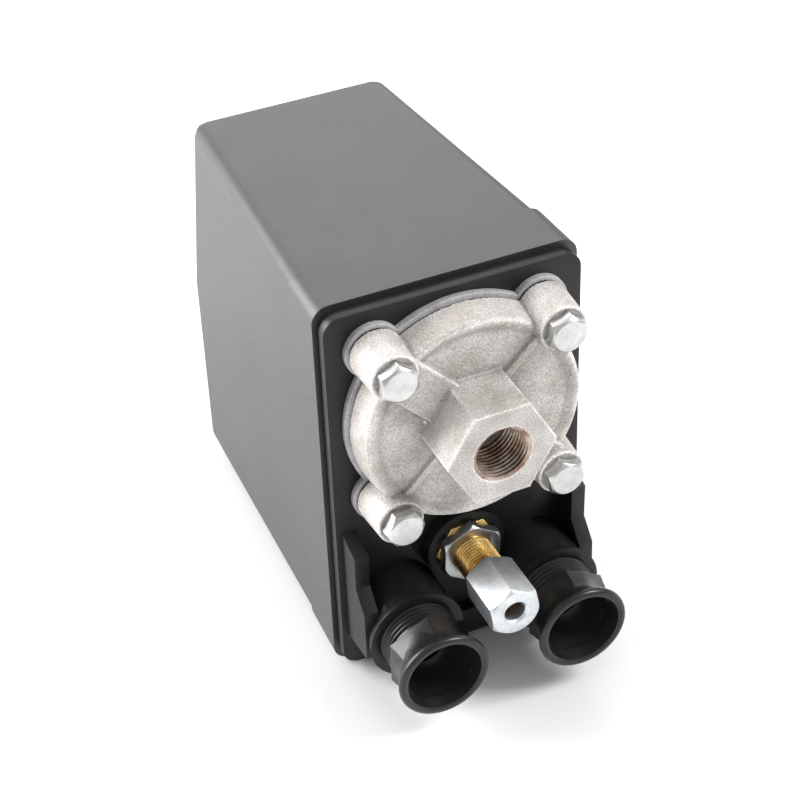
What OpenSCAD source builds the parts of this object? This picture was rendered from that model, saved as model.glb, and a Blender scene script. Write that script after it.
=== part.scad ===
// Pressure switch for an air compressor: flanged pressure port, diaphragm drive,
// contact block, two cable glands and an unloader valve, under a deep moulded cover.
// Millimetres. The origin is the centre of the port's mouth. The port opens towards -Y,
// the cover runs back along +Y, +X is to the right and +Z is up, with the switch lying
// on the long flat side of its cover.

/* [Pressure port] */
// Width across the flats of the port's hexagon
hex_af = 27.6; // [27:0.1:28.5]
// Core diameter of the port's pipe thread
port_core_d = 14.95; // [14.5:0.05:15.5]
// Depth of the threaded hole
port_depth = 14; // [12:1:15]

/* [Flange] */
// Spacing of the four flange bolts, along X and along Z
bolt_spacing = 48; // [47:0.5:49]
// Outer radius of the flange disc
disc_r = 32.4; // [32:0.1:33]
// Height of the hexagon's face above the base plate
port_height = 28; // [27:0.5:29]

/* [Base] */
// Width of the base plate
base_w = 74.2; // [73.8:0.1:74.6]
// Top of the base plate above the port's axis
base_top = 35.7; // [35.4:0.1:36]
// Bottom of the base plate below the port's axis
base_drop = 84.3; // [84:0.1:84.6]

/* [Cover] */
// Width of the cover's skirt
cover_w = 76.6; // [76.4:0.1:77]
// Top of the skirt above the port's axis
cover_top = 37.2; // [37:0.1:37.6]
// Bottom of the skirt below the port's axis
cover_drop = 86; // [85.8:0.1:86.2]
// Depth of the cover from its rim to its far end
cover_depth = 112.5; // [111:0.1:114]
// Width of the cover's far end in its lower half
far_w = 70.2; // [70:0.1:71]
// Width of the cover's far end along its top edge
far_top_w = 60.8; // [60:0.1:62]
// Wall of the cover
wall = 2.2; // [2:0.1:2.6]

/* [Cable glands] */
// Spacing of the two glands
gland_spacing = 42.5; // [42:0.1:43]
// Height of the gland axes below the port's axis
gland_drop = 64.7; // [64:0.1:65]
// Radius of the round lip of a gland nut
gland_lip_r = 13.4; // [13:0.1:13.6]
// Radius of the hole that the cable passes through
cable_r = 6; // [5:0.25:6.5]

/* [Unloader valve] */
// Height of the valve's axis below the port's axis
valve_drop = 49.5; // [49:0.1:50]
// Diameter of the air tube that the compression nut takes
tube_d = 6; // [5:1:6]

/* [Hidden] */

$fn = 64;
eps = 0.01;
side_signs = [-1, 1];

// Stations along Y. The base plate's face is port_height behind the port's mouth.
face_y = port_height;
ring_t = 2.1;
diaphragm_t = 0.8;
ring_y = face_y - ring_t;
diaphragm_y = ring_y - diaphragm_t;
plate_t = 3;
seal_t = 1.5;
rim_y = face_y + plate_t + seal_t;
spigot_y = face_y + 6;
far_y = rim_y + cover_depth;
inner_far_y = far_y - wall;

bolt_x = bolt_spacing / 2;
gland_x = gland_spacing / 2;
boss_y = 12.6;
bolt_head_t = 4.2;
bolt_r = 2.95;
bolt_hole_r = 3.2;

// Internal mechanism
frame_t = 2;
frame_y = spigot_y + frame_t;
arm_x = 20;
arm_half_z = 9;
bridge_y = 108;
earth_x = 26.2;
earth_z = -9;
pin_y = 47;
pin_z = -18;
pin_r = 2.5;
running_gap = 0.05;
lever_y = 43;
lever_t = 3;
difference_z = 22;
block_y = 54;
block_t = 26;
block_top_z = -31;
block_low_z = -80;
contact_pitch = 18;
contact_y = 64.6;
contact_t = 1.4;
carrier_z = -47;
terminal_z = [-37, -70];
post_z = [-36, -75];
post_x = 31;
post_r = 3.6;
screw_r = 1.85;
cover_screw_x = 24.2;
cover_screw_z = -53.5;
cover_screw_reach = 26;
knob_z = -42;
shaft_r = 4;
// The cover's body steps in behind its skirt, and the spigot fits inside the body.
step_side = 0.6;
step_top = 0.7;
step_low = 1.1;
spigot_gap = 0.4;
spigot_w = cover_w - 2 * (step_side + wall + spigot_gap);
spigot_low = -cover_drop + step_low + wall + spigot_gap;
spigot_top = cover_top - step_top - wall - spigot_gap;

// Cable gland stations
gland_mouth_y = face_y - 35.5;
socket_y = face_y - 16.8;
socket_r = 13.3;
socket_bore_r = 11.3;
shank_r = 11.2;
socket_floor_y = face_y - 5;
ring_seat_y = face_y - 9.3;

// Unloader valve stations
valve_boss_y = face_y - 4.6;
washer_y = valve_boss_y - 1;
lock_nut_y = washer_y - 3.2;
stud_r = 5.9;
stud_tip_y = face_y - 26;
tube_nut_back_y = face_y - 19.4;
tube_nut_front_y = face_y - 35.5;
valve_bore_r = 2.1;
valve_nut_af = 17;
lock_nut_turn = 27;
tube_nut_af = 14;
tube_nut_turn = 37;
stem_r = 2.05;
valve_tail_y = face_y + 9.6;

// Turns a shape drawn along +Z so that it runs along +Y, from y = 0.
module along_y() {
    rotate([-90, 0, 0]) children();
}

// A round bar along Y from y0 to y1, with radius r0 at y0 and r1 at y1.
module bar_y(y0, y1, r0, r1) {
    translate([0, y0, 0]) along_y() cylinder(h = y1 - y0, r1 = r0, r2 = r1);
}

// Extrudes an outline drawn in X and Z from y0 to y1.
module slab_y(y0, y1) {
    translate([0, y1, 0]) rotate([90, 0, 0]) linear_extrude(y1 - y0) children();
}

// A hexagonal bar along Y. Its flats face up and down, unless it is turned.
module hex_bar_y(y0, y1, af, turn = 0) {
    slab_y(y0, y1) rotate(turn) circle(r = af / sqrt(3), $fn = 6);
}

// Moves a child to each flange bolt.
module at_bolts() {
    for (sx = side_signs)
        for (sz = side_signs)
            translate([sx * bolt_x, 0, sz * bolt_x]) children();
}

// A rectangle with round corners, from x = -w/2 to w/2 and from z0 to z1.
module round_rect(w, z0, z1, r) {
    for (x = [-w / 2 + r, w / 2 - r])
        for (z = [z0 + r, z1 - r])
            translate([x, z]) circle(r);
    translate([-w / 2 + r, z0]) square([w - 2 * r, z1 - z0]);
    translate([-w / 2, z0 + r]) square([w, z1 - z0 - 2 * r]);
}

// A coil drawn as closed rings spread evenly from y0 to y1.
module coil_y(y0, y1, coil_r, wire_r, turns) {
    step = (y1 - y0 - 2 * wire_r) / (turns - 1);
    for (i = [0 : turns - 1])
        translate([0, y0 + wire_r + i * step, 0])
            along_y() rotate_extrude() translate([coil_r, 0]) circle(wire_r, $fn = 24);
}

// ---- Flange ----

// The lobed outline that the flange's layers share.
module lobed_outline(r, lobe_r) {
    circle(r, $fn = 96);
    for (sx = side_signs)
        for (sz = side_signs)
            translate([sx * bolt_x, sz * bolt_x]) circle(lobe_r);
}

// Half section of the disc, as radius and distance in front of the base plate.
module disc_section() {
    polygon([
        [0, 5.5], [24, 5.5], [24, ring_t + diaphragm_t], [disc_r, ring_t + diaphragm_t],
        [disc_r - 0.6, 8.6], [disc_r - 1.1, 11], [disc_r - 1.9, 12.1], [disc_r - 2.9, 12],
        [disc_r - 4.9, 10.7], [0, 10.7]
    ]);
}

module flange_casting() {
    web_w = 12.5;
    web_front_y = face_y - 13;
    rib_w = 2;
    rib_front_y = face_y - 12;
    rib_offset = 1.4;
    floor_y = face_y - 10;
    boss_back_y = diaphragm_y;
    color("silver")
    difference() {
        union() {
            translate([0, face_y, 0]) rotate([90, 0, 0]) rotate_extrude($fn = 96) disc_section();
            hex_bar_y(0, floor_y, hex_af);
            at_bolts() bar_y(boss_y, boss_back_y, 6.7, 7.5);
            // Broad webs to the upper left and lower right bosses
            rotate([0, 45, 0])
                translate([-bolt_x * sqrt(2), web_front_y, -web_w / 2])
                    cube([bolt_spacing * sqrt(2), floor_y - web_front_y, web_w]);
            // Thin ribs to the other two
            rotate([0, -45, 0])
                translate([-bolt_x * sqrt(2) + 4, rib_front_y, rib_offset - rib_w / 2])
                    cube([bolt_spacing * sqrt(2) - 8, floor_y - rib_front_y, rib_w]);
        }
        // Threaded port with a chamfered mouth, and the passage to the diaphragm
        bar_y(-eps, port_depth, port_core_d / 2, port_core_d / 2);
        bar_y(-eps, 0.4, port_core_d / 2 + 0.8, port_core_d / 2);
        bar_y(port_depth - eps, face_y, 3.5, 3.5);
        // Bolt holes with spot-faced seats
        at_bolts() {
            bar_y(boss_y - eps, face_y, bolt_hole_r, bolt_hole_r);
            bar_y(boss_y - 2, boss_y + 0.4, 6.2, 6.2);
        }
    }
}

module flange_ring() {
    color("dimgray")
    difference() {
        slab_y(ring_y, face_y) lobed_outline(disc_r + 1, 8.1);
        bar_y(ring_y - eps, face_y + eps, 23, 23);
        at_bolts() bar_y(ring_y - eps, face_y + eps, bolt_hole_r, bolt_hole_r);
    }
}

module diaphragm() {
    color([0.12, 0.12, 0.12])
    difference() {
        slab_y(diaphragm_y, ring_y) lobed_outline(disc_r - 0.6, 7.1);
        at_bolts() bar_y(diaphragm_y - eps, ring_y + eps, bolt_hole_r, bolt_hole_r);
    }
}

module flange_bolts() {
    head_y = boss_y + 0.4;
    head_af = 10;
    // Where each head happened to stop when it was tightened
    head_turns = [[0, 30], [40, 20]];
    color("gainsboro")
    for (i = [0, 1])
        for (j = [0, 1])
            translate([side_signs[i] * bolt_x, 0, side_signs[j] * bolt_x]) {
                bar_y(head_y - eps, frame_y, bolt_r, bolt_r);
                intersection() {
                    hex_bar_y(head_y - bolt_head_t, head_y, head_af, head_turns[i][j]);
                    bar_y(head_y - bolt_head_t, head_y, head_af / 2 - 0.5, head_af / 2 + 4);
                }
            }
}

// ---- Base and cover ----

// One side cheek, from the plate up to the gland socket, as distance in front
// of the plate and height.
module cheek(sx) {
    cheek_t = 4.2;
    translate([sx > 0 ? base_w / 2 - 1.7 - cheek_t : -base_w / 2 + 1.7, 0, 0])
        rotate([90, 0, 90]) linear_extrude(cheek_t)
            polygon([
                [face_y + 1, -34], [face_y, -35], [face_y - 8.5, -38], [face_y - 8.2, -49],
                [face_y - 13.4, -54.8], [face_y - 13.6, -gland_drop - 6], [face_y + 1, -gland_drop - 8]
            ]);
}

module gland_socket() {
    bar_y(socket_y + 3.4, face_y + 1, socket_r, socket_r + 0.3);
    bar_y(socket_y, socket_y + 3.4, socket_r + 0.8, socket_r);
}

module base() {
    corner_r = 5;
    valve_boss_r = 11.8;
    color([0.13, 0.13, 0.14])
    difference() {
        union() {
            slab_y(face_y, face_y + plate_t)
                round_rect(base_w, -base_drop, base_top, corner_r);
            slab_y(face_y + plate_t - eps, spigot_y)
                round_rect(spigot_w, spigot_low, spigot_top, corner_r - 1);
            // Posts that carry the contact block
            for (sx = side_signs)
                for (z = post_z)
                    translate([sx * post_x, 0, z]) bar_y(spigot_y - eps, block_y, post_r, post_r);
            for (sx = side_signs) {
                cheek(sx);
                translate([sx * gland_x, 0, -gland_drop]) gland_socket();
            }
            translate([0, 0, -valve_drop]) bar_y(valve_boss_y, face_y + 1, valve_boss_r, valve_boss_r + 0.4);
            // Step between the two sockets
            translate([-12, face_y - 3.5, -base_drop]) cube([24, 4, 9]);
            translate([0, 0, -valve_drop]) bar_y(spigot_y - eps, face_y + 7.5, 8, 7.4);
        }
        for (sx = side_signs)
            for (z = post_z)
                translate([sx * post_x, 0, z])
                    bar_y(spigot_y - 2.6, block_y + eps, screw_r + running_gap, screw_r + running_gap);
        bar_y(face_y - eps, spigot_y + eps, 23.4, 23.4);
        at_bolts() bar_y(face_y - eps, spigot_y + eps, bolt_hole_r, bolt_hole_r);
        // Gland sockets: threaded bore and a smaller hole through the floor
        for (sx = side_signs)
            translate([sx * gland_x, 0, -gland_drop]) {
                bar_y(socket_y - eps, socket_floor_y, socket_bore_r, socket_bore_r);
                bar_y(socket_floor_y - eps, spigot_y + eps, 8.5, 8.5);
            }
        translate([0, 0, -valve_drop]) bar_y(face_y - 5, face_y + 12, stud_r + running_gap, stud_r + running_gap);
    }
}

// The cover's tapered body: a round-edged block whose sides lean in towards the
// top of the far end. inset is how far it lies inside the outer face.
module cover_block(inset, y0) {
    edge_r = 4 - inset * 0.8;
    mouth_w = cover_w - 2 * (step_side + inset);
    mouth_top = cover_top - step_top - inset;
    mouth_low = -cover_drop + step_low + inset;
    lean_z = -22.5;
    far_top = cover_top - 3.9 - inset;
    far_low = -cover_drop + 3 + inset;
    corner_y = far_y - inset - edge_r;
    far_x = far_w / 2 - inset - edge_r;
    hull() {
        slab_y(y0, y0 + 1) round_rect(mouth_w, mouth_low, mouth_top, edge_r, $fn = 32);
        for (sx = side_signs) {
            translate([sx * (far_top_w / 2 - inset - edge_r), corner_y, far_top - edge_r])
                sphere(edge_r, $fn = 32);
            for (z = [lean_z, far_low + edge_r])
                translate([sx * far_x, corner_y, z]) sphere(edge_r, $fn = 32);
        }
    }
}

module cover() {
    skirt_depth = 18.4;
    skirt_r = 4.6;
    knob_hole_r = 14.6;
    screw_hole_r = 2.2;
    color([0.22, 0.22, 0.23])
    difference() {
        union() {
            cover_block(0, rim_y);
            slab_y(rim_y, rim_y + skirt_depth)
                round_rect(cover_w, -cover_drop, cover_top, skirt_r);
        }
        cover_block(wall, rim_y - 1);
        translate([0, 0, knob_z]) bar_y(inner_far_y - 8, far_y + 1, knob_hole_r, knob_hole_r);
        for (sx = side_signs)
            translate([sx * cover_screw_x, 0, cover_screw_z])
                bar_y(inner_far_y - 8, far_y + 1, screw_hole_r, screw_hole_r);
    }
}

module cover_seal() {
    color([0.1, 0.1, 0.1])
    difference() {
        slab_y(face_y + plate_t, rim_y)
            round_rect(spigot_w + 2.2, spigot_low - 1.1, spigot_top + 1.1, 4.8);
        slab_y(face_y + plate_t - 1, rim_y + 1)
            round_rect(spigot_w + 0.1, spigot_low - 0.05, spigot_top + 0.05, 4);
    }
}

module cover_screws() {
    head_t = 2.2;
    color("silver")
    for (sx = side_signs)
        translate([sx * cover_screw_x, 0, cover_screw_z])
            difference() {
                union() {
                    bar_y(far_y - cover_screw_reach, far_y + eps, 1.95, 1.95);
                    bar_y(far_y, far_y + head_t, 3.9, 3.2);
                }
                for (turn = [0, 90])
                    rotate([0, turn, 0])
                        translate([-1.9, far_y + head_t - 1.2, -0.45]) cube([3.8, 2, 0.9]);
            }
}

// Hexagonal pillars that the cover's screws go into
module cover_posts() {
    post_end_y = far_y - cover_screw_reach + 9;
    color("lightgray")
    for (sx = side_signs)
        translate([sx * cover_screw_x, 0, cover_screw_z])
            difference() {
                union() {
                    hex_bar_y(block_y + block_t, post_end_y, 7);
                    bar_y(block_y + block_t - 6, block_y + block_t + eps, 2, 2);
                }
                bar_y(post_end_y - 12, post_end_y + eps, 1.95 + running_gap, 1.95 + running_gap);
            }
}

// ---- Switching knob ----

module knob() {
    flange_r = 14;
    body_r = 12.2;
    grip_w = 6.8;
    grip_l = 22.8;
    grip_h = 6;
    color([0.1, 0.1, 0.1])
    translate([0, 0, knob_z])
        difference() {
            union() {
                bar_y(far_y - 9, far_y - 5, flange_r, flange_r);
                bar_y(far_y - 5, far_y + 1, body_r, body_r - 0.4);
                translate([-grip_w / 2, far_y, -grip_l / 2]) cube([grip_w, grip_h, grip_l]);
            }
            bar_y(far_y - 10, far_y - 1, shaft_r + 0.02, shaft_r + 0.02);
        }
}

module knob_shaft() {
    color("lightgray")
    translate([0, 0, knob_z]) {
        bar_y(block_y + block_t + 2, far_y - 1, shaft_r, shaft_r);
        // Cam that lifts the contact carrier
        translate([-7, block_y + block_t + 14.5, -2]) cube([14, 5, 4]);
    }
}

// ---- Diaphragm drive ----

module pressure_plate() {
    plate_r = 22;
    hub_y = ring_y + 3;
    stem_y = ring_y + 6;
    color("lightgray") {
        bar_y(ring_y + 0.05, hub_y, plate_r, plate_r);
        bar_y(hub_y - eps, stem_y, 15, 12);
        bar_y(stem_y - eps, lever_y - 0.5, 5, 5);
    }
}

module steel_frame() {
    foot_w = 60;
    color("slategray")
    difference() {
        union() {
            translate([-foot_w / 2, spigot_y, -30.5]) cube([foot_w, frame_t, 61]);
            for (sx = side_signs)
                translate([sx * arm_x - (sx < 0 ? frame_t : 0), spigot_y, pin_z - 5])
                    cube([frame_t, bridge_y - spigot_y, arm_half_z - pin_z + 5]);
            translate([-arm_x - frame_t, bridge_y - eps, -arm_half_z])
                cube([2 * (arm_x + frame_t), frame_t, 37]);
        }
        bar_y(spigot_y - 1, frame_y + 1, 12.5, 12.5);
        bar_y(bridge_y - 1, bridge_y + frame_t + 1, 4.05, 4.05);
        translate([0, 0, difference_z]) bar_y(bridge_y - 1, bridge_y + frame_t + 1, 2.55, 2.55);
        at_bolts() bar_y(spigot_y - 1, frame_y + 1, bolt_r + running_gap, bolt_r + running_gap);
        for (sx = side_signs)
            translate([sx * earth_x, 0, earth_z]) bar_y(spigot_y - 1, frame_y + 1, 2.05, 2.05);
        // Window under the rocker, and the pin's holes through both arms
        translate([-14, spigot_y - 1, -32]) cube([28, frame_t + 2, 14]);
        translate([-arm_x - 5, pin_y, pin_z]) rotate([0, 90, 0]) cylinder(h = 2 * arm_x + 10, r = pin_r + 0.02);
    }
}

module frame_screws() {
    color("silver")
    for (sx = side_signs)
        for (z = post_z)
            translate([sx * post_x, 0, z]) {
                bar_y(spigot_y - 2.5, block_y + 4, screw_r, screw_r);
                bar_y(block_y + 4, block_y + 6.2, 2.9, 2.5);
            }
}

module earth_screws() {
    color("goldenrod")
    for (sx = side_signs)
        translate([sx * earth_x, 0, earth_z]) {
            bar_y(frame_y - 1.5, frame_y + 3, 2, 2);
            bar_y(frame_y + 3 - eps, frame_y + 5.4, 3.6, 3.2);
            bar_y(frame_y, frame_y + 1, 3.9, 3.9);
        }
}

spring_low_y = lever_y + lever_t + 1.2;
seat_y = 96;

module range_spring() {
    color("gray") coil_y(spring_low_y + 0.1, seat_y - 0.1, 10.5, 1.7, 8);
}

seat_t = 3;

module range_seat() {
    color("lightgray") {
        bar_y(seat_y, seat_y + seat_t, 13, 13);
        bar_y(seat_y - 5, seat_y + eps, 7.6, 8.4);
        translate([-arm_x + 0.4, seat_y, -5]) cube([2 * arm_x - 0.8, seat_t, 10]);
    }
}

module range_screw() {
    head_y = bridge_y + frame_t + 6;
    color("silver") {
        bar_y(seat_y + seat_t + 0.1, head_y + eps, 4, 4);
        hex_bar_y(head_y, head_y + 5.5, 13);
    }
}

difference_seat_y = 80;

module difference_spring() {
    color("gray")
    translate([0, 0, difference_z])
        coil_y(lever_y + lever_t + 0.1, difference_seat_y - 0.1, 4.6, 0.8, 10);
}

module difference_seat() {
    color("goldenrod")
    translate([0, 0, difference_z]) {
        bar_y(difference_seat_y, difference_seat_y + seat_t, 6.4, 6.4);
        bar_y(difference_seat_y - 3, difference_seat_y + eps, 3.2, 3.6);
    }
}

module difference_screw() {
    head_y = bridge_y + frame_t + 4;
    color("silver")
    translate([0, 0, difference_z])
        difference() {
            union() {
                bar_y(difference_seat_y + seat_t + 0.1, head_y + eps, 2.5, 2.5);
                bar_y(head_y, head_y + 3.4, 4.6, 4.1);
            }
            translate([-5, head_y + 2, -0.6]) cube([10, 3, 1.2]);
        }
}

module rocker() {
    hub_r = 5;
    arm_w = 26;
    color("lightsteelblue")
    difference() {
        union() {
            // Upper arm carries the two springs, lower arm works the contacts and valve
            translate([-arm_w / 2, lever_y, pin_z]) cube([arm_w, lever_t, difference_z - pin_z + 7]);
            translate([-8, lever_y, -valve_drop - 4]) cube([16, lever_t, pin_z + valve_drop + 4]);
            translate([-arm_x + 0.6, pin_y, pin_z]) rotate([0, 90, 0])
                cylinder(h = 2 * arm_x - 1.2, r = hub_r);
            // Spring locating ring
            difference() {
                bar_y(lever_y + lever_t - eps, spring_low_y, 13, 13);
                bar_y(lever_y + lever_t - 1, spring_low_y - 0.5, 8, 8);
            }
        }
        translate([-arm_x - 5, pin_y, pin_z]) rotate([0, 90, 0])
            cylinder(h = 2 * arm_x + 10, r = pin_r + running_gap);
    }
}

module pivot_pin() {
    color("silver")
    translate([-arm_x - frame_t - 1.5, pin_y, pin_z]) rotate([0, 90, 0])
        cylinder(h = 2 * (arm_x + frame_t) + 3, r = pin_r);
}

// ---- Contacts ----

// The three poles' arc chambers, terminal wells and contact strips share these places.
module at_poles() {
    for (i = [-1 : 1]) translate([i * contact_pitch, 0, 0]) children();
}

// One pole's two contact strips, from the arc chamber to the terminal wells.
module strips() {
    translate([-3, contact_y, -42]) cube([6, contact_t, 8.7]);
    translate([-3, contact_y, -73.7]) cube([6, contact_t, 21.7]);
}

module contact_block() {
    block_w = 56;
    block_back_y = block_y + block_t;
    color([0.16, 0.16, 0.18])
    difference() {
        union() {
            translate([-block_w / 2, block_y, block_low_z])
                cube([block_w, block_t, block_top_z - block_low_z]);
            // Feet on the base's posts
            for (sx = side_signs)
                translate([sx > 0 ? block_w / 2 - 1 : -block_w / 2 - 6, block_y, block_low_z])
                    cube([7, 4, block_top_z - block_low_z]);
            // Guide of the knob's shaft
            translate([0, 0, knob_z]) bar_y(block_back_y - eps, block_back_y + 10, 7, 7);
        }
        at_poles() {
            translate([-6, block_y - 1, -56]) cube([12, 15, 18]);
            strips();
            for (z = terminal_z)
                translate([0, 0, z]) bar_y(contact_y + contact_t - eps, block_back_y + 1, 3.8, 3.8);
        }
        translate([0, 0, knob_z])
            bar_y(block_back_y - 4, block_back_y + 11, shaft_r + running_gap, shaft_r + running_gap);
        for (sx = side_signs) {
            for (z = post_z)
                translate([sx * post_x, 0, z])
                    bar_y(block_y - 1, block_y + 5, screw_r + running_gap, screw_r + running_gap);
            translate([sx * cover_screw_x, 0, cover_screw_z])
                bar_y(block_back_y - 7, block_back_y + 1, 2.05, 2.05);
        }
    }
}

module fixed_contacts() {
    color("darkgoldenrod") at_poles() strips();
}

module terminal_screws() {
    shank_y = contact_y + contact_t;
    color("silver")
    at_poles()
        for (z = terminal_z)
            translate([0, 0, z])
                difference() {
                    union() {
                        bar_y(shank_y, shank_y + 7, 2, 2);
                        bar_y(shank_y + 7 - eps, shank_y + 9.6, 3.5, 3.5);
                    }
                    translate([-4, shank_y + 8.6, -0.5]) cube([8, 2, 1]);
                }
}

module contact_carrier() {
    bar_front_y = block_y - 6;
    color("beige")
    difference() {
        union() {
            translate([-25, bar_front_y, carrier_z - 3]) cube([50, 5, 6]);
            at_poles() translate([-4.6, bar_front_y, carrier_z - 3])
                cube([9.2, contact_y + 1.5 - bar_front_y, 6]);
            translate([-4, lever_y + lever_t + 0.3, carrier_z - 3]) cube([8, 3, 6]);
        }
        // Windows that the contact bridges float in
        at_poles() translate([-3.2, bar_front_y + 4, carrier_z - 4])
            cube([6.4, contact_y - bar_front_y - 4, 8]);
    }
}

module moving_contacts() {
    color("darkgoldenrod")
    at_poles() translate([-3, contact_y - contact_t - 0.1, -55.5]) cube([6, contact_t, 17]);
}

module contact_springs() {
    color("gray")
    at_poles() translate([0, 0, carrier_z])
        coil_y(block_y - 1.9, contact_y - contact_t - 0.2, 2.2, 0.35, 6);
}

// ---- Cable glands ----

// Moves a child to the left (-1) or right (1) gland's axis.
module at_gland(sx) {
    translate([sx * gland_x, 0, -gland_drop]) children();
}

module gland_nut() {
    hex_y = face_y - 23.6;
    flare_y = face_y - 30.2;
    color([0.12, 0.12, 0.13])
    difference() {
        union() {
            bar_y(hex_y - eps, ring_seat_y - 1.6, shank_r, shank_r);
            hex_bar_y(flare_y - 2, hex_y, 22.6);
            bar_y(gland_mouth_y + 2, flare_y + 1.6, gland_lip_r, 11.3);
            bar_y(gland_mouth_y, gland_mouth_y + 2, gland_lip_r - 1.2, gland_lip_r);
        }
        bar_y(gland_mouth_y - eps, gland_mouth_y + 14, gland_lip_r - 2.2, cable_r);
        bar_y(gland_mouth_y + 13.9, face_y, cable_r, cable_r);
        bar_y(ring_seat_y - 6, ring_seat_y - 1, 8.4, 8.4);
    }
}

module gland_ring() {
    color("silver")
    difference() {
        bar_y(ring_seat_y - 1.5, ring_seat_y - 0.1, 10.9, 10.9);
        bar_y(ring_seat_y - 2, ring_seat_y + 1, cable_r + 0.2, cable_r + 0.2);
    }
}

module gland_seal() {
    color([0.18, 0.18, 0.18])
    difference() {
        bar_y(ring_seat_y, socket_floor_y - 0.1, 11, 10.2);
        bar_y(ring_seat_y - 1, socket_floor_y + 1, cable_r - 0.4, cable_r - 0.4);
    }
}

module gland_nut_left() {
    at_gland(-1) gland_nut();
}

module gland_nut_right() {
    at_gland(1) gland_nut();
}

module gland_ring_left() {
    at_gland(-1) gland_ring();
}

module gland_ring_right() {
    at_gland(1) gland_ring();
}

module gland_seal_left() {
    at_gland(-1) gland_seal();
}

module gland_seal_right() {
    at_gland(1) gland_seal();
}

// ---- Unloader valve ----

module at_valve() {
    translate([0, 0, -valve_drop]) children();
}

module valve_body() {
    color("goldenrod")
    at_valve()
        difference() {
            union() {
                bar_y(stud_tip_y, face_y + 7.6 + eps, stud_r, stud_r);
                hex_bar_y(face_y + 7.6, valve_tail_y, 13);
            }
            bar_y(stud_tip_y - eps, stud_tip_y + 4, 3.9, 2.6);
            bar_y(stud_tip_y - eps, stud_tip_y + 6, 3, 3);
            bar_y(stud_tip_y + 5.9, valve_tail_y + 1, valve_bore_r, valve_bore_r);
        }
}

module valve_washer() {
    color("darkgoldenrod")
    at_valve()
        difference() {
            hex_bar_y(washer_y, valve_boss_y, valve_nut_af);
            bar_y(washer_y - 1, face_y, stud_r + running_gap, stud_r + running_gap);
        }
}

module valve_lock_nut() {
    color("gainsboro")
    at_valve()
        difference() {
            intersection() {
                hex_bar_y(lock_nut_y, washer_y, valve_nut_af, lock_nut_turn);
                bar_y(lock_nut_y, washer_y, valve_nut_af / 2 + 0.4, valve_nut_af / 2 + 3.5);
            }
            bar_y(lock_nut_y - 1, washer_y + 1, stud_r + 0.02, stud_r + 0.02);
        }
}

module compression_nut() {
    nut_l = tube_nut_back_y - tube_nut_front_y;
    front_r = tube_nut_af / 2 - 0.1;
    back_r = tube_nut_af / 2 + 0.6;
    color("gainsboro")
    at_valve()
        difference() {
            // The corners are turned off at 45 degrees, more at the front than at the back
            intersection() {
                hex_bar_y(tube_nut_front_y, tube_nut_back_y, tube_nut_af, tube_nut_turn);
                bar_y(tube_nut_front_y, tube_nut_back_y, front_r, front_r + nut_l);
                bar_y(tube_nut_front_y, tube_nut_back_y, back_r + nut_l, back_r);
            }
            bar_y(tube_nut_front_y - eps, tube_nut_back_y, tube_d / 2 + 0.1, tube_d / 2 + 0.1);
            bar_y(tube_nut_front_y - eps, tube_nut_front_y + 0.7, tube_d / 2 + 0.8, tube_d / 2 + 0.1);
            bar_y(stud_tip_y - 1, tube_nut_back_y + 1, stud_r + 0.04, stud_r + 0.04);
            bar_y(stud_tip_y - 3, stud_tip_y - 1 + eps, 3.4, stud_r + 0.04);
        }
}

module olive() {
    color("darkgoldenrod")
    at_valve()
        difference() {
            union() {
                bar_y(stud_tip_y - 2.1, stud_tip_y - 1.1, 3.5, 4.1);
                bar_y(stud_tip_y - 1.1 - eps, stud_tip_y - 0.3, 4.1, 3.9);
            }
            bar_y(stud_tip_y - 3, stud_tip_y + 1, tube_d / 2 + 0.08, tube_d / 2 + 0.08);
        }
}

module valve_stem() {
    tip_y = lever_y - 0.3;
    color("silver")
    at_valve() {
        bar_y(stud_tip_y + 9, tip_y - 1.6, stem_r - 0.02, stem_r - 0.02);
        bar_y(tip_y - 1.6 - eps, tip_y, 4.2, 3.4);
    }
}

module valve_spring() {
    color("gray")
    at_valve() coil_y(valve_tail_y + 0.1, lever_y - 2, 3.1, 0.22, 3);
}

flange_casting();
flange_ring();
diaphragm();
flange_bolts();
base();
cover();
cover_seal();
cover_screws();
cover_posts();
knob();
knob_shaft();
pressure_plate();
steel_frame();
frame_screws();
earth_screws();
range_spring();
range_seat();
range_screw();
difference_spring();
difference_seat();
difference_screw();
rocker();
pivot_pin();
contact_block();
fixed_contacts();
terminal_screws();
contact_carrier();
moving_contacts();
contact_springs();
gland_nut_left();
gland_nut_right();
gland_ring_left();
gland_ring_right();
gland_seal_left();
gland_seal_right();
valve_body();
valve_washer();
valve_lock_nut();
compression_nut();
olive();
valve_stem();
valve_spring();
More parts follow.
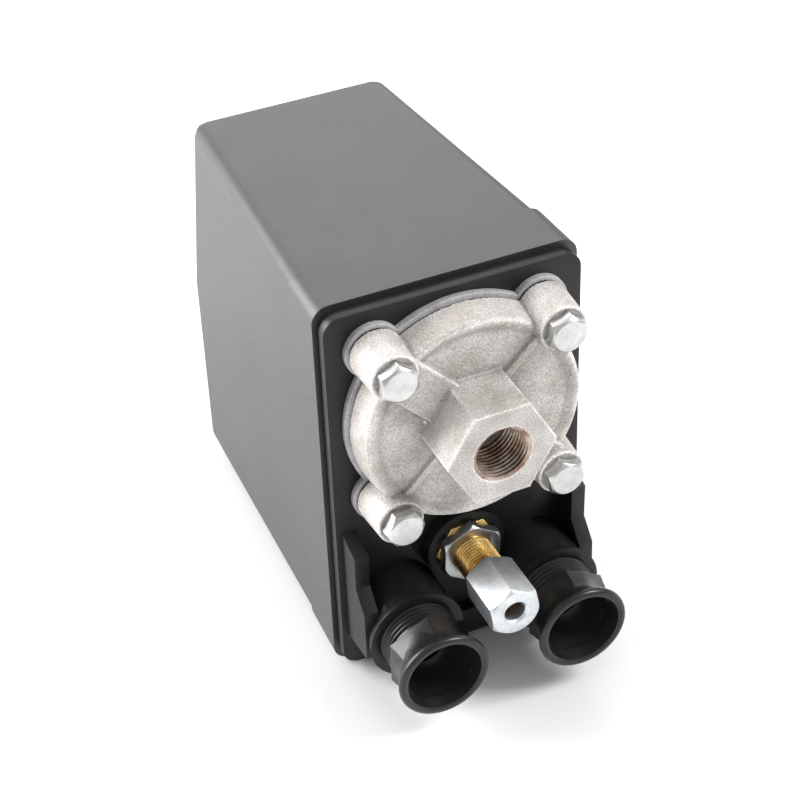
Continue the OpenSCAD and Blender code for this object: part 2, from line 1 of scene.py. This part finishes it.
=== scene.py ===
import math
import bpy
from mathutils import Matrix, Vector


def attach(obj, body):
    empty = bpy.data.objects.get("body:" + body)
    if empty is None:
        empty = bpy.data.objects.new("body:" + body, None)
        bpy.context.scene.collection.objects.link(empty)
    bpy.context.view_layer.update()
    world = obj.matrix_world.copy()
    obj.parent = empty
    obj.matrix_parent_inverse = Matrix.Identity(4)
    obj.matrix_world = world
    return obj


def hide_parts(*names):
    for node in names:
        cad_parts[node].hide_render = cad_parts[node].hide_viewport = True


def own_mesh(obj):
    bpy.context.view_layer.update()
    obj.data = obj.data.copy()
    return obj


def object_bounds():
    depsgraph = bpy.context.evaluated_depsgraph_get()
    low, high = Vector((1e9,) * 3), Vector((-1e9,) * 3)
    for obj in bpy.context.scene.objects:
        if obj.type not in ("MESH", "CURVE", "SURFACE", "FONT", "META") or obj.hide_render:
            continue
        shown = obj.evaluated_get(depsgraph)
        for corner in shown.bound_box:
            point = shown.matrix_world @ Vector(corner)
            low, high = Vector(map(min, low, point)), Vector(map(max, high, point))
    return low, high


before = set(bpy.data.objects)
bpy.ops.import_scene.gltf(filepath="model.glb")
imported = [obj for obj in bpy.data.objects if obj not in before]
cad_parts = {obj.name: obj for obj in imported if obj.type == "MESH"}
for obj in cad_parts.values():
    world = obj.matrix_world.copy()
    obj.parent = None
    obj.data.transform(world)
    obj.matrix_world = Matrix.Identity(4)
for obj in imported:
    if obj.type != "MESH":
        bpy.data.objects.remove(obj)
cad_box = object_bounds()
mm = 0.001

# Studio: the switch lies on the long flat side of its cover on a pale floor.
# One large soft box hangs behind it, another stands on the left, a small one lights
# the casting from the right, and a pale sky fills in the rest.
camera_data = bpy.data.cameras.new("camera")
camera_data.lens = 94.48
camera_data.sensor_width = 36
camera_data.clip_start = 0.02
camera = bpy.data.objects.new("camera", camera_data)
camera.location = (-0.18839, -0.37976, 0.34027)
camera.rotation_euler = [math.radians(a) for a in (52.769, 1.870, -24.277)]
bpy.context.scene.collection.objects.link(camera)
bpy.context.scene.camera = camera
bpy.context.scene.view_settings.view_transform = "Standard"


def soft_box(name, place, target, width, power):
    """A square soft light, in metres and watts, that faces its target."""
    data = bpy.data.lights.new(name, "AREA")
    data.shape = "SQUARE"
    data.size = width
    data.energy = power
    lamp = bpy.data.objects.new(name, data)
    lamp.location = place
    lamp.rotation_euler = (Vector(target) - Vector(place)).to_track_quat("-Z", "Y").to_euler()
    bpy.context.scene.collection.objects.link(lamp)


soft_box("back_box", (0.20, 0.95, 0.60), (0, 0.05, -0.03), 1.0, 5.5)
soft_box("left_box", (-0.80, 0.60, 0.36), (-0.05, 0.08, -0.03), 0.7, 18.0)
soft_box("right_box", (0.60, -0.30, 0.62), (0, 0, -0.02), 0.35, 7.0)

sky = bpy.data.worlds.new("studio")
sky.use_nodes = True
sky.node_tree.nodes["Background"].inputs["Color"].default_value = (1.0, 0.995, 0.985, 1)
sky.node_tree.nodes["Background"].inputs["Strength"].default_value = 0.62
bpy.context.scene.world = sky

floor_z = cad_box[0][2] - 0.2 * mm
bpy.ops.object.select_all(action="DESELECT")
bpy.ops.mesh.primitive_plane_add(size=6, location=(0, 0, floor_z))
floor = bpy.context.object
floor.name = "floor"
paper = bpy.data.materials.new("studio_paper")
paper.use_nodes = True
paper.node_tree.nodes["Principled BSDF"].inputs["Base Color"].default_value = (0.86, 0.86, 0.86, 1)
paper.node_tree.nodes["Principled BSDF"].inputs["Roughness"].default_value = 0.9
floor.data.materials.append(paper)


# Cover: one deep moulding in black glass-filled plastic with a fine spark grain.
# Its sides lean in towards the top of the far end, a shallow skirt runs round
# the mouth, and the far end has the holes for the knob and two long screws.
def pick(piece, what, test):
    """Opens the piece in edit mode with only what passes the test selected.

    The test gets a vertex's place, an edge's two ends, or a face's centre and normal."""
    bpy.ops.object.mode_set(mode="EDIT")
    bpy.ops.mesh.select_mode(type={"v": "VERT", "e": "EDGE", "f": "FACE"}[what])
    bpy.ops.mesh.select_all(action="DESELECT")
    bpy.ops.object.mode_set(mode="OBJECT")
    points = piece.data.vertices
    if what == "v":
        for v in points:
            v.select = test(v.co / mm)
    elif what == "e":
        for e in piece.data.edges:
            a, b = (points[i].co / mm for i in e.vertices)
            e.select = test(a, b)
    else:
        for f in piece.data.polygons:
            f.select = test(f.center / mm, f.normal)
    bpy.ops.object.mode_set(mode="EDIT")


def clear():
    """Leaves edit mode, with nothing selected."""
    if bpy.context.object and bpy.context.object.mode != "OBJECT":
        bpy.ops.object.mode_set(mode="OBJECT")
    bpy.ops.object.select_all(action="DESELECT")


def alone(piece):
    """Leaves only this piece selected, and makes it the active one."""
    clear()
    piece.select_set(True)
    bpy.context.view_layer.objects.active = piece


def settle(piece):
    """Moves the piece's place into its mesh."""
    alone(piece)
    bpy.ops.object.transform_apply(location=True, rotation=True, scale=True)


def block(name, low, high):
    """A box between two corners, in millimetres."""
    clear()
    middle = [(a + b) / 2 * mm for a, b in zip(low, high)]
    bpy.ops.mesh.primitive_cube_add(size=1, location=middle)
    piece = bpy.context.object
    piece.name = name
    piece.scale = [(b - a) * mm for a, b in zip(low, high)]
    settle(piece)
    return piece


def run(piece, kind, **settings):
    """Adds one modifier and applies it."""
    alone(piece)
    modifier = piece.modifiers.new(kind.lower(), kind)
    for key, value in settings.items():
        setattr(modifier, key, value)
    bpy.ops.object.modifier_apply(modifier=modifier.name)


def cut(piece, tool, how="DIFFERENCE"):
    """Cuts the piece with a tool body, or joins the two, and throws the tool away."""
    run(piece, "BOOLEAN", object=tool, operation=how, solver="EXACT")
    bpy.data.objects.remove(tool, do_unlink=True)


def smooth(piece, degrees=35):
    """Shades the piece smooth, but for edges sharper than the angle."""
    alone(piece)
    bpy.ops.object.shade_smooth_by_angle(angle=math.radians(degrees))


def round_edges(piece, width, segments=2, degrees=30):
    """Rounds every edge that is sharper than the angle."""
    run(piece, "BEVEL", width=width * mm, segments=segments, limit_method="ANGLE",
        angle_limit=math.radians(degrees))


def rod(name, place, radius, y0, y1, sides=64):
    """A plain round tool or blank along Y."""
    clear()
    x, z = place
    bpy.ops.mesh.primitive_cylinder_add(
        vertices=sides, radius=radius * mm, depth=(y1 - y0) * mm,
        location=(x * mm, (y0 + y1) / 2 * mm, z * mm), rotation=(math.radians(90), 0, 0))
    piece = bpy.context.object
    piece.name = name
    settle(piece)
    return piece


def cover_block(name, inset, y0, y1):
    """The cover's tapered body, shrunk by the inset."""
    top, low, side = 36.5 - inset, -84.9 + inset, 37.7 - inset
    far_top, far_low = 33.3 - inset, -83 + inset
    far_side, far_top_side = 35.1 - inset, 30.4 - inset
    lean_z = -22.5
    edge = 4.2 - inset * 0.8
    piece = block(name, (-side, y0, low), (side, y1, top))
    behind_mouth = y0 + 1
    # Draw the far end in, then split its upright edges at the height where the lean starts
    for sx in (-1, 1):
        pick(piece, "v", lambda p: p.y > behind_mouth and p.x * sx > 0 and p.z > 0)
        bpy.ops.transform.translate(
            value=((far_top_side - side) * sx * mm, 0, (far_top - top) * mm))
        pick(piece, "v", lambda p: p.y > behind_mouth and p.x * sx > 0 and p.z < 0)
        bpy.ops.transform.translate(value=((far_side - side) * sx * mm, 0, (far_low - low) * mm))
    pick(piece, "e", lambda a, b: min(a.y, b.y) > behind_mouth and abs(a.z - b.z) > 50)
    bpy.ops.mesh.subdivide(number_cuts=1)
    middle_z = (far_top + far_low) / 2
    middle_side = (far_side + far_top_side) / 2
    for sx in (-1, 1):
        pick(piece, "v", lambda p: p.x * sx > 0 and abs(p.z - middle_z) < 2 and p.y > behind_mouth)
        bpy.ops.transform.translate(
            value=((far_side - middle_side) * sx * mm, 0, (lean_z - middle_z) * mm))
        pick(piece, "v", lambda p: p.x * sx > 0 and (
            abs(p.z - lean_z) < 1 and p.y > behind_mouth or p.y < behind_mouth and p.z > 0))
        bpy.ops.mesh.vert_connect()
    # Round the far end and the four long corners, and leave the crease of the lean sharp
    pick(piece, "e", lambda a, b: (
        min(a.y, b.y) > behind_mouth and not abs(a.z - lean_z) + abs(b.z - lean_z) < 1)
        or (abs(a.y - b.y) > 20 and abs(b.z - lean_z) > 1 and abs(a.z - lean_z) > 1))
    bpy.ops.mesh.bevel(offset=edge * mm, segments=7, affect="EDGES", clamp_overlap=True)
    bpy.ops.object.mode_set(mode="OBJECT")
    return piece


rim_y, far_y, wall = 32.5, 145.0, 2.2
cover = cover_block("cover_shell", 0, rim_y + 1.5, far_y)

# The skirt narrows a little towards its step, and has rounder corners than the cover
skirt_side, skirt_low, skirt_top, skirt_depth = 38.3, -86, 37.2, 18.4
skirt_draft = (75.4 / 76.6, 1, 122.8 / 123.2)
skirt = block("skirt", (-skirt_side, rim_y, skirt_low), (skirt_side, rim_y + skirt_depth, skirt_top))
pick(skirt, "f", lambda c, n: n.y > 0.9)
bpy.ops.transform.resize(value=skirt_draft, center_override=(0, 0, (skirt_low + skirt_top) / 2 * mm))
pick(skirt, "e", lambda a, b: abs(a.y - b.y) > 5)
bpy.ops.mesh.bevel(offset=5.0 * mm, segments=8, affect="EDGES")
pick(skirt, "e", lambda a, b: min(a.y, b.y) > rim_y + 10)
bpy.ops.mesh.bevel(offset=0.25 * mm, segments=2, affect="EDGES")
bpy.ops.object.mode_set(mode="OBJECT")
cut(cover, skirt, "UNION")
cut(cover, cover_block("cover_core", wall, rim_y - 1, far_y - wall))

knob_z, knob_hole_r = -42, 14.6
screw_x, screw_z, screw_hole_r = 24.2, -53.5, 2.2
through_far_end = (120, 160)
cut(cover, rod("knob_hole", (0, knob_z), knob_hole_r, *through_far_end))
for sx in (-1, 1):
    cut(cover, rod("screw_hole", (sx * screw_x, screw_z), screw_hole_r, *through_far_end, 32))
# Break the sharp edges of the rim and the holes
round_edges(cover, 0.25, degrees=60)
smooth(cover, 40)
# Keep the large faces flat right up to the skirt's step
run(cover, "WEIGHTED_NORMAL", mode="FACE_AREA", weight=80, keep_sharp=True)


def noise(nodes, links, coords, size, detail=4.0):
    """A noise pattern whose grains are about size millimetres across."""
    pattern = nodes.new("ShaderNodeTexNoise")
    pattern.inputs["Scale"].default_value = 1000 / size
    pattern.inputs["Detail"].default_value = detail
    pattern.inputs["Roughness"].default_value = 0.55
    links.new(coords.outputs["Object"], pattern.inputs["Vector"])
    return pattern


def two_tone(nodes, links, source, low, high, start=0.35, stop=0.65):
    """Turns a pattern's value into a colour between low and high."""
    ramp = nodes.new("ShaderNodeValToRGB")
    ramp.color_ramp.elements[0].position = start
    ramp.color_ramp.elements[0].color = (*low, 1)
    ramp.color_ramp.elements[1].position = stop
    ramp.color_ramp.elements[1].color = (*high, 1)
    links.new(source, ramp.inputs["Fac"])
    return ramp


def times(nodes, links, first, second):
    """Multiplies one colour by another."""
    mixed = nodes.new("ShaderNodeMix")
    mixed.data_type = "RGBA"
    mixed.blend_type = "MULTIPLY"
    mixed.inputs["Factor"].default_value = 1.0
    links.new(first, mixed.inputs["A"])
    links.new(second, mixed.inputs["B"])
    return mixed.outputs["Result"]


def finish(name, low, high, patch, grain, rough, depth,
           metal=0.0, gloss=0.5, strength=0.5, speckle=0.0):
    """A surface with soft colour patches, a fine grain in its colour, gloss and relief.

    low and high are the two colours, patch and grain sizes in millimetres, rough the
    lowest and highest roughness, depth the relief in millimetres, and speckle how
    strongly the grain darkens and lightens the colour."""
    material = bpy.data.materials.new(name)
    material.use_nodes = True
    nodes, links = material.node_tree.nodes, material.node_tree.links
    shader = nodes["Principled BSDF"]
    shader.inputs["Metallic"].default_value = metal
    shader.inputs["Specular IOR Level"].default_value = gloss
    coords = nodes.new("ShaderNodeTexCoord")
    broad = noise(nodes, links, coords, patch)
    fine = noise(nodes, links, coords, grain, 2.0)
    colour = two_tone(nodes, links, broad.outputs["Fac"], low, high).outputs["Color"]
    if speckle:
        dots = two_tone(nodes, links, fine.outputs["Fac"], (1 - speckle,) * 3,
                        (1 + speckle * 0.5,) * 3, 0.38, 0.6)
        colour = times(nodes, links, colour, dots.outputs["Color"])
    links.new(colour, shader.inputs["Base Color"])
    level = nodes.new("ShaderNodeMapRange")
    level.inputs["From Min"].default_value = 0.3
    level.inputs["From Max"].default_value = 0.7
    level.inputs["To Min"].default_value = rough[0]
    level.inputs["To Max"].default_value = rough[1]
    links.new(fine.outputs["Fac"], level.inputs["Value"])
    links.new(level.outputs["Result"], shader.inputs["Roughness"])
    relief = nodes.new("ShaderNodeBump")
    relief.inputs["Strength"].default_value = strength
    relief.inputs["Distance"].default_value = depth * mm
    links.new(fine.outputs["Fac"], relief.inputs["Height"])
    links.new(relief.outputs["Normal"], shader.inputs["Normal"])
    return material


def give(piece, material, body=None, stands_for=()):
    """Puts a finish on a piece, and for a new piece says what it rides on and stands for."""
    piece.data.materials.clear()
    piece.data.materials.append(material)
    if body:
        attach(piece, body)
    if stands_for:
        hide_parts(*stands_for)


cover_black = finish("cover_black", (0.017, 0.0165, 0.018), (0.026, 0.0255, 0.027), 30, 0.55,
                     (0.36, 0.52), 0.05, gloss=0.85, speckle=0.25)
# The dusty bloom of a grained moulding, which pales it at a low angle
cover_black.node_tree.nodes["Principled BSDF"].inputs["Sheen Weight"].default_value = 0.11
cover_black.node_tree.nodes["Principled BSDF"].inputs["Sheen Roughness"].default_value = 0.28
give(cover, cover_black, "cover", ["cover"])

# Base: the black moulding that everything is fastened to. It is a plate with a
# round front edge, two cable sockets between side cheeks, a round boss for the
# valve, a step, and a spigot and posts at the back. All one piece from the mould.
def softened(node, name, edge, segments=2):
    """A copy of a CAD solid with its doubles merged, flat facets cleaned and edges rounded."""
    piece = bpy.data.objects.new(name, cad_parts[node].data.copy())
    bpy.context.scene.collection.objects.link(piece)
    alone(piece)
    bpy.ops.object.mode_set(mode="EDIT")
    bpy.ops.mesh.select_all(action="SELECT")
    bpy.ops.mesh.remove_doubles(threshold=0.002 * mm)
    bpy.ops.mesh.dissolve_limited(angle_limit=math.radians(0.5))
    bpy.ops.object.mode_set(mode="OBJECT")
    if edge:
        round_edges(piece, edge, segments)
    smooth(piece)
    return piece


base_black = finish("base_black", (0.007, 0.0068, 0.0072), (0.012, 0.0115, 0.012), 18, 0.35,
                    (0.32, 0.50), 0.02, gloss=0.35, speckle=0.15)
base = softened("base", "base_moulding", 0.45, 3)
give(base, base_black, "base", ["base"])

# Flange casting: gravity-cast aluminium, left as it came out of the sand but for
# the drilled bolt seats and the tapped port. Ribs and webs run out to the bosses.
casting = softened("flange_casting", "flange_casting_body", 0)
cut(casting, rod("port_bore", (0, 0), 8.35, -1, 13.6, 96))
run(casting, "REMESH", mode="VOXEL", voxel_size=0.38 * mm, adaptivity=0)
run(casting, "SMOOTH", factor=0.5, iterations=3)
smooth(casting, 60)

cast_sand = finish("cast_sand", (0.44, 0.405, 0.38), (0.60, 0.575, 0.555), 9, 0.45,
                   (0.38, 0.58), 0.12, metal=0.15, gloss=0.5, strength=0.8, speckle=0.28)


def paint_crease_shade_and_edge_highlight(material, dark, bright):
    """Painted shade, with some grime, darkens the inner corners, and a painted highlight lightens the
    outer edges.
    """
    nodes, links = material.node_tree.nodes, material.node_tree.links
    shader = nodes["Principled BSDF"]
    before = shader.inputs["Base Color"].links[0].from_socket
    shape = nodes.new("ShaderNodeNewGeometry")
    # Low pointiness in the creases gives painted shade, and high pointiness on the edges gives a
    # painted highlight
    ramp = two_tone(nodes, links, shape.outputs["Pointiness"], (dark,) * 3, (bright,) * 3, 0.455, 0.545)
    middle = ramp.color_ramp.elements.new(0.5)
    middle.color = (1, 1, 1, 1)
    shaded_and_lit_colour = times(nodes, links, before, ramp.outputs["Color"])
    links.new(shaded_and_lit_colour, shader.inputs["Base Color"])


# Painted shade in the casting's inner corners and a painted highlight on its outer edges
paint_crease_shade_and_edge_highlight(cast_sand, 0.50, 1.50)
give(casting, cast_sand, "base", ["flange_casting"])


# Port thread: the tapped wall of the port, bright where the tap has cut the
# casting and stained brown by oil. Turned ring by ring with its thread grooves.
def turned(name, axis, rings, sides=64):
    """A closed round body turned about a line along Y: rings is a list of (y, radius)."""
    clear()
    x, z = axis
    y0, r0 = rings[0]
    bpy.ops.mesh.primitive_circle_add(
        vertices=sides, radius=r0 * mm, location=(x * mm, y0 * mm, z * mm),
        rotation=(math.radians(90), 0, 0))
    piece = bpy.context.object
    piece.name = name
    settle(piece)
    bpy.ops.object.mode_set(mode="EDIT")
    bpy.ops.mesh.select_mode(type="EDGE")
    bpy.ops.mesh.select_all(action="SELECT")
    for (ya, ra), (yb, rb) in zip(rings, rings[1:]):
        bpy.ops.mesh.extrude_edges_move(TRANSFORM_OT_translate={"value": (0, (yb - ya) * mm, 0)})
        bpy.ops.transform.resize(value=(rb / ra, 1, rb / ra), center_override=(x * mm, yb * mm, z * mm))
    bpy.ops.mesh.select_all(action="DESELECT")
    bpy.ops.mesh.select_non_manifold()
    bpy.ops.mesh.bridge_edge_loops()
    bpy.ops.mesh.select_all(action="SELECT")
    bpy.ops.mesh.normals_make_consistent(inside=False)
    bpy.ops.object.mode_set(mode="OBJECT")
    return piece


def grooves(y0, y1, crest, root, pitch):
    """Rings of a thread between y0 and y1, with flats on its crests and roots."""
    rings = []
    turns = int(abs(y1 - y0) / pitch)
    step = pitch if y1 > y0 else -pitch
    for i in range(turns):
        y = y0 + i * step
        rings += [(y, crest), (y + step * 0.15, crest), (y + step * 0.5, root), (y + step * 0.62, root)]
    return rings + [(y0 + turns * step, crest)]


thread = turned("port_thread", (0, 0), [(13.55, 8.6), (0.05, 8.95), (0.05, 8.75)]
                + grooves(0.6, 13.3, 7.5, 8.3, 1.337) + [(13.55, 7.5)], 96)
smooth(thread, 50)
tapped_metal = finish("tapped_metal", (0.20, 0.11, 0.07), (0.50, 0.42, 0.37), 5, 0.5,
                      (0.20, 0.36), 0.02, metal=0.9, strength=0.3)
give(thread, tapped_metal, "base")

# Flange ring and diaphragm: a darker cast ring clamped behind the casting, and
# the rubber diaphragm whose edge shows as a thin dark line between them.
ring_grey = finish("ring_grey", (0.36, 0.355, 0.37), (0.50, 0.495, 0.51), 6, 0.4,
                   (0.42, 0.62), 0.07, metal=0.2, strength=0.6, speckle=0.25)
ring = softened("flange_ring", "flange_ring_body", 0.3)
give(ring, ring_grey, "base", ["flange_ring"])
soft_rubber = finish("soft_rubber", (0.010, 0.010, 0.010), (0.020, 0.019, 0.018), 8, 0.3,
                     (0.62, 0.80), 0.02, gloss=0.3)
give(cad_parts["diaphragm"], soft_rubber)
give(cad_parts["cover_seal"], soft_rubber)

# Flange bolts: four zinc-plated M6 screws with turned hexagon heads.
zinc_plate = finish("zinc_plate", (0.50, 0.51, 0.52), (0.66, 0.66, 0.65), 4, 0.3,
                    (0.26, 0.40), 0.008, metal=1.0, strength=0.35)
bolts = softened("flange_bolts", "flange_bolt_set", 0.18)
give(bolts, zinc_plate, "base", ["flange_bolts"])


# Gland nuts: black plastic, with a flared and rolled lip, a hexagon for the
# spanner and a coarse thread. Each presses a steel ring on a rubber sleeve.
gland_x, gland_z = 21.25, -64.7


def gland_nut(name, x):
    lip = [(-7.42, 11.6), (-7.5, 12.1), (-7.35, 12.7), (-6.95, 13.15), (-6.4, 13.38), (-5.8, 13.36),
           (-5.1, 13.05), (-4.0, 12.45), (-2.6, 11.85), (-0.6, 11.3), (4.4, 11.1)]
    bell = [(6.5 - 14 * t, 6 + 5.1 * t ** 0.62)
            for t in (0, 0.06, 0.15, 0.3, 0.45, 0.6, 0.75, 0.88, 0.96)]
    bore = [(17.1, 10.4), (17.1, 8.4), (12.7, 8.4), (12.7, 6.0)]
    nut = turned(name, (x, gland_z), lip + grooves(4.9, 16.9, 11.2, 10.35, 1.5) + bore + bell, 72)
    flats, front_y, back_y = 22.6, -3.6, 4.4
    hexagon = rod("hexagon", (x, gland_z), flats / math.sqrt(3), front_y, back_y, 6)
    pick(hexagon, "f", lambda c, n: n.y < -0.9)
    bpy.ops.transform.resize(
        value=(0.86, 1, 0.86), center_override=(x * mm, front_y * mm, gland_z * mm))
    bpy.ops.object.mode_set(mode="OBJECT")
    round_edges(hexagon, 0.3)
    cut(hexagon, rod("hollow", (x, gland_z), 10.0, -8, 6, 48))
    cut(nut, hexagon, "UNION")
    smooth(nut, 38)
    return nut


gland_black = finish("gland_black", (0.009, 0.009, 0.010), (0.015, 0.015, 0.016), 10, 0.5,
                     (0.28, 0.36), 0.005, gloss=0.45, strength=0.2, speckle=0.10)
for side, x in (("left", -gland_x), ("right", gland_x)):
    nut = gland_nut(f"gland_nut_{side}_body", x)
    give(nut, gland_black, f"gland_nut_{side}", [f"gland_nut_{side}"])
    give(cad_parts[f"gland_ring_{side}"], zinc_plate)
    seal = softened(f"gland_seal_{side}", f"gland_seal_{side}_sleeve", 0.3)
    give(seal, soft_rubber, "base", stands_for=[f"gland_seal_{side}"])
    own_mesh(seal)

# Unloader valve: a brass stud with a fine thread right along it, held in the base by
# a plated lock nut over a hexagonal brass collar. The compression nut and its olive
# hold the air tube, and the stem and its spring run through the middle.
valve_z = -49.5
brass = finish("brass", (0.62, 0.38, 0.11), (0.86, 0.60, 0.24), 2.5, 0.3,
               (0.16, 0.32), 0.01, metal=1.0, strength=0.3)
stud_head = [(35.6, 5.88), (35.6, 7.0), (35.9, 7.3), (37.2, 7.3), (37.6, 7.0)]
stud_bore = [(37.6, 2.1), (8.0, 2.1), (8.0, 3.0), (4.5, 3.0), (2.0, 3.9)]
stud = turned("valve_stud", (0, valve_z),
              grooves(2.0, 34.0, 5.88, 5.35, 1.0) + stud_head + stud_bore)
smooth(stud, 40)
give(stud, brass, "base", ["valve_body"])
collar = softened("valve_washer", "valve_collar", 0.2)
give(collar, brass, "base", ["valve_washer"])
lock_nut = softened("valve_lock_nut", "valve_lock_nut_body", 0.2)
give(lock_nut, zinc_plate, "base", ["valve_lock_nut"])
blue_zinc = finish("blue_zinc", (0.58, 0.61, 0.64), (0.76, 0.78, 0.79), 5, 0.35,
                   (0.36, 0.50), 0.012, metal=1.0, strength=0.5, speckle=0.10)
tube_nut = softened("compression_nut", "compression_nut_body", 0.22)
give(tube_nut, blue_zinc, "compression_nut", ["compression_nut"])
give(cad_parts["olive"], brass)
give(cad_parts["valve_stem"], zinc_plate)

# Knob: black plastic, with a round body sunk in the cover's far end and a raised
# grip bar. It sits on a steel shaft with a cam.
knob = softened("knob", "knob_body", 0.4, 3)
give(knob, gland_black, "knob", ["knob"])
give(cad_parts["knob_shaft"], zinc_plate)

# Cover screws and posts: two long plated screws with crossed slots, and the
# hexagonal pillars on the contact block that they go into.
screws = softened("cover_screws", "cover_screw_pair", 0.15)
give(screws, zinc_plate, "cover", ["cover_screws"])
give(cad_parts["cover_posts"], zinc_plate)

# Mechanism frame, rocker and pin: pressed steel, zinc plated, with the shallow
# waves and bright scuffs of sheet that has been bent and riveted.
sheet_steel = finish("sheet_steel", (0.48, 0.49, 0.50), (0.64, 0.64, 0.63), 12, 0.5,
                     (0.26, 0.44), 0.015, metal=1.0, strength=0.35)
for node in ("steel_frame", "rocker"):
    piece = softened(node, f"{node}_pressing", 0.25)
    give(piece, sheet_steel, "base" if node == "steel_frame" else "rocker", [node])
for node in ("pressure_plate", "range_seat", "range_screw", "difference_screw", "frame_screws",
             "terminal_screws", "pivot_pin"):
    give(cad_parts[node], zinc_plate)
give(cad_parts["earth_screws"], brass)
give(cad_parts["difference_seat"], brass)

# Contacts: a black arc-chamber block, an ivory carrier that the rocker pushes, and
# brass strips with terminal screws.
block_black = finish("block_black", (0.018, 0.018, 0.020), (0.032, 0.031, 0.032), 14, 0.5,
                     (0.38, 0.55), 0.02, gloss=0.5, speckle=0.12)
carrier_ivory = finish("carrier_ivory", (0.56, 0.50, 0.38), (0.66, 0.60, 0.47), 9, 0.5,
                       (0.36, 0.52), 0.015, gloss=0.5)
contact_brass = finish("contact_brass", (0.52, 0.33, 0.11), (0.74, 0.52, 0.22), 3, 0.4,
                       (0.22, 0.38), 0.01, metal=1.0)
chamber = softened("contact_block", "contact_block_moulding", 0.3)
give(chamber, block_black, "base", ["contact_block"])
carrier = softened("contact_carrier", "contact_carrier_moulding", 0.2)
give(carrier, carrier_ivory, "contact_carrier", ["contact_carrier"])
give(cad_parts["fixed_contacts"], contact_brass)
give(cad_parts["moving_contacts"], contact_brass)


# Springs: wound from oil-tempered wire. Each starts as the wire's round section, which
# is swept up a helix.
def spring(name, axis, y0, y1, coil, wire, turns):
    """A coil spring along Y: coil and wire are the radii of its helix and of its wire."""
    x, z = axis
    clear()
    bpy.ops.mesh.primitive_circle_add(
        vertices=12, radius=wire * mm, location=(coil * mm, (y0 + wire) * mm, 0))
    piece = bpy.context.object
    piece.name = name
    settle(piece)
    run(piece, "SCREW", axis="Y", steps=28, render_steps=28, iterations=turns,
        screw_offset=(y1 - y0 - 2 * wire) / turns * mm, use_merge_vertices=False)
    pick(piece, "v", lambda p: True)
    bpy.ops.mesh.fill_holes(sides=0)
    bpy.ops.mesh.select_all(action="SELECT")
    bpy.ops.mesh.normals_make_consistent(inside=False)
    bpy.ops.object.mode_set(mode="OBJECT")
    piece.location = (x * mm, 0, z * mm)
    settle(piece)
    smooth(piece, 50)
    return piece


spring_wire = finish("spring_wire", (0.20, 0.19, 0.18), (0.34, 0.33, 0.31), 5, 0.3,
                     (0.26, 0.42), 0.01, metal=1.0)
range_coil = spring("range_spring_coil", (0, 0), 48.5, 95.9, 10.5, 1.7, 8)
give(range_coil, spring_wire, "base", ["range_spring"])
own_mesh(range_coil)
difference_coil = spring("difference_spring_coil", (0, 22), 46.1, 77.4, 4.6, 0.8, 11)
give(difference_coil, spring_wire, "base", ["difference_spring"])
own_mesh(difference_coil)
valve_coil = spring("valve_spring_coil", (0, valve_z), 37.7, 41.0, 3.1, 0.22, 4)
give(valve_coil, spring_wire, "base", ["valve_spring"])
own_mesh(valve_coil)
give(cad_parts["contact_springs"], spring_wire)
